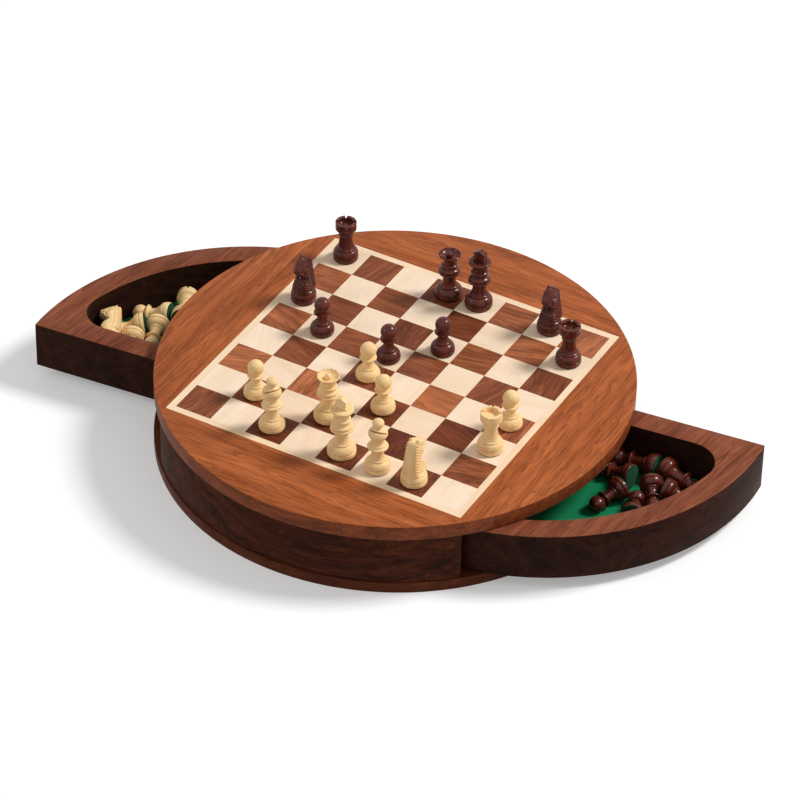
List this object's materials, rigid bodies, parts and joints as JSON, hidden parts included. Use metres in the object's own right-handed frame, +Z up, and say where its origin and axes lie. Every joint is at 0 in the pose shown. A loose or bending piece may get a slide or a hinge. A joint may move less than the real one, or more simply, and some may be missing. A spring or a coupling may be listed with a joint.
{
  "type": "magnetic chess set",
  "caption": "Round wooden box with a chessboard in its lid, turned magnetic pieces and felt-lined quarter trays that swing out on pins.",
  "frame": {"origin": "centre of the box's round underside, which is its resting face", "axes": "+Z up; +X along the ranks from file a to file h, with the trays swung out along it; +Y from white's side to black's"},
  "size_m": [0.4582, 0.3052, 0.0951],
  "materials": {
    "dark_wood": "satin lacquer, dark red-brown",
    "red_wood": "satin lacquer, red-brown with straight grain",
    "maple": "satin lacquer, pale and close-grained",
    "light_piece": "satin, pale boxwood",
    "dark_piece": "glossy, very dark red-brown",
    "green_felt": "matt green felt",
    "steel": "bright"
  },
  "bodies": {
    "box": {"top_disc": "dark_wood", "steel_sheet": "steel", "surround_segments": "red_wood", "border_strips": "maple", "dark_squares": "red_wood", "light_squares": "maple", "bottom_disc": "dark_wood", "front_block": "dark_wood", "rear_block": "dark_wood", "pivot_pins": "steel"},
    "right_tray_body": {"right_tray": "dark_wood", "right_lining": "green_felt", "stored_dark_bishops": "dark_piece", "stored_dark_pawns": "dark_piece", "stored_dark_bases": "green_felt"},
    "left_tray_body": {"left_tray": "dark_wood", "left_lining": "green_felt", "stored_light_knight": "light_piece", "stored_light_rook": "light_piece", "stored_light_pawns": "light_piece", "stored_light_bases": "green_felt"},
    "white_king_body": {"white_king": "light_piece", "white_king_base": "green_felt"},
    "white_queen_body": {"white_queen": "light_piece", "white_queen_base": "green_felt"},
    "white_bishop_c1_body": {"white_bishop_c1": "light_piece", "white_bishop_c1_base": "green_felt"},
    "white_bishop_f1_body": {"white_bishop_f1": "light_piece", "white_bishop_f1_base": "green_felt"},
    "white_knight_body": {"white_knight": "light_piece", "white_knight_base": "green_felt"},
    "white_rook_body": {"white_rook": "light_piece", "white_rook_base": "green_felt"},
    "white_pawn_b2_body": {"white_pawn_b2": "light_piece", "white_pawn_b2_base": "green_felt"},
    "white_pawn_e3_body": {"white_pawn_e3": "light_piece", "white_pawn_e3_base": "green_felt"},
    "white_pawn_d4_body": {"white_pawn_d4": "light_piece", "white_pawn_d4_base": "green_felt"},
    "white_pawn_h4_body": {"white_pawn_h4": "light_piece", "white_pawn_h4_base": "green_felt"},
    "black_rook_a8_body": {"black_rook_a8": "dark_piece", "black_rook_a8_base": "green_felt"},
    "black_knight_a6_body": {"black_knight_a6": "dark_piece", "black_knight_a6_base": "green_felt"},
    "black_pawn_b5_body": {"black_pawn_b5": "dark_piece", "black_pawn_b5_base": "green_felt"},
    "black_pawn_d5_body": {"black_pawn_d5": "dark_piece", "black_pawn_d5_base": "green_felt"},
    "black_pawn_e6_body": {"black_pawn_e6": "dark_piece", "black_pawn_e6_base": "green_felt"},
    "black_queen_body": {"black_queen": "dark_piece", "black_queen_base": "green_felt"},
    "black_king_body": {"black_king": "dark_piece", "black_king_base": "green_felt"},
    "black_knight_g8_body": {"black_knight_g8": "dark_piece", "black_knight_g8_base": "green_felt"},
    "black_rook_h7_body": {"black_rook_h7": "dark_piece", "black_rook_h7_base": "green_felt"}
  },
  "joints": [
    {"name": "right_tray_swing", "type": "hinge", "parent": "box", "child": "right_tray_body", "pos_m": [0.10829, -0.08411, 0.0245], "axis": [0, 0, 1], "range_deg": [-51.4, 38.6]},
    {"name": "left_tray_swing", "type": "hinge", "parent": "box", "child": "left_tray_body", "pos_m": [-0.10829, 0.08411, 0.0245], "axis": [0, 0, 1], "range_deg": [-50.2, 39.8]},
    {"name": "white_king_lift", "type": "slide", "parent": "box", "child": "white_king_body", "axis": [0, 0, 1], "range_m": [0, 0.06]},
    {"name": "white_queen_lift", "type": "slide", "parent": "box", "child": "white_queen_body", "axis": [0, 0, 1], "range_m": [0, 0.06]},
    {"name": "white_bishop_c1_lift", "type": "slide", "parent": "box", "child": "white_bishop_c1_body", "axis": [0, 0, 1], "range_m": [0, 0.06]},
    {"name": "white_bishop_f1_lift", "type": "slide", "parent": "box", "child": "white_bishop_f1_body", "axis": [0, 0, 1], "range_m": [0, 0.06]},
    {"name": "white_knight_lift", "type": "slide", "parent": "box", "child": "white_knight_body", "axis": [0, 0, 1], "range_m": [0, 0.06]},
    {"name": "white_rook_lift", "type": "slide", "parent": "box", "child": "white_rook_body", "axis": [0, 0, 1], "range_m": [0, 0.06]},
    {"name": "white_pawn_b2_lift", "type": "slide", "parent": "box", "child": "white_pawn_b2_body", "axis": [0, 0, 1], "range_m": [0, 0.06]},
    {"name": "white_pawn_e3_lift", "type": "slide", "parent": "box", "child": "white_pawn_e3_body", "axis": [0, 0, 1], "range_m": [0, 0.06]},
    {"name": "white_pawn_d4_lift", "type": "slide", "parent": "box", "child": "white_pawn_d4_body", "axis": [0, 0, 1], "range_m": [0, 0.06]},
    {"name": "white_pawn_h4_lift", "type": "slide", "parent": "box", "child": "white_pawn_h4_body", "axis": [0, 0, 1], "range_m": [0, 0.06]},
    {"name": "black_rook_a8_lift", "type": "slide", "parent": "box", "child": "black_rook_a8_body", "axis": [0, 0, 1], "range_m": [0, 0.06]},
    {"name": "black_knight_a6_lift", "type": "slide", "parent": "box", "child": "black_knight_a6_body", "axis": [0, 0, 1], "range_m": [0, 0.06]},
    {"name": "black_pawn_b5_lift", "type": "slide", "parent": "box", "child": "black_pawn_b5_body", "axis": [0, 0, 1], "range_m": [0, 0.06]},
    {"name": "black_pawn_d5_lift", "type": "slide", "parent": "box", "child": "black_pawn_d5_body", "axis": [0, 0, 1], "range_m": [0, 0.06]},
    {"name": "black_pawn_e6_lift", "type": "slide", "parent": "box", "child": "black_pawn_e6_body", "axis": [0, 0, 1], "range_m": [0, 0.06]},
    {"name": "black_queen_lift", "type": "slide", "parent": "box", "child": "black_queen_body", "axis": [0, 0, 1], "range_m": [0, 0.06]},
    {"name": "black_king_lift", "type": "slide", "parent": "box", "child": "black_king_body", "axis": [0, 0, 1], "range_m": [0, 0.06]},
    {"name": "black_knight_g8_lift", "type": "slide", "parent": "box", "child": "black_knight_g8_body", "axis": [0, 0, 1], "range_m": [0, 0.06]},
    {"name": "black_rook_h7_lift", "type": "slide", "parent": "box", "child": "black_rook_h7_body", "axis": [0, 0, 1], "range_m": [0, 0.06]}
  ]
}
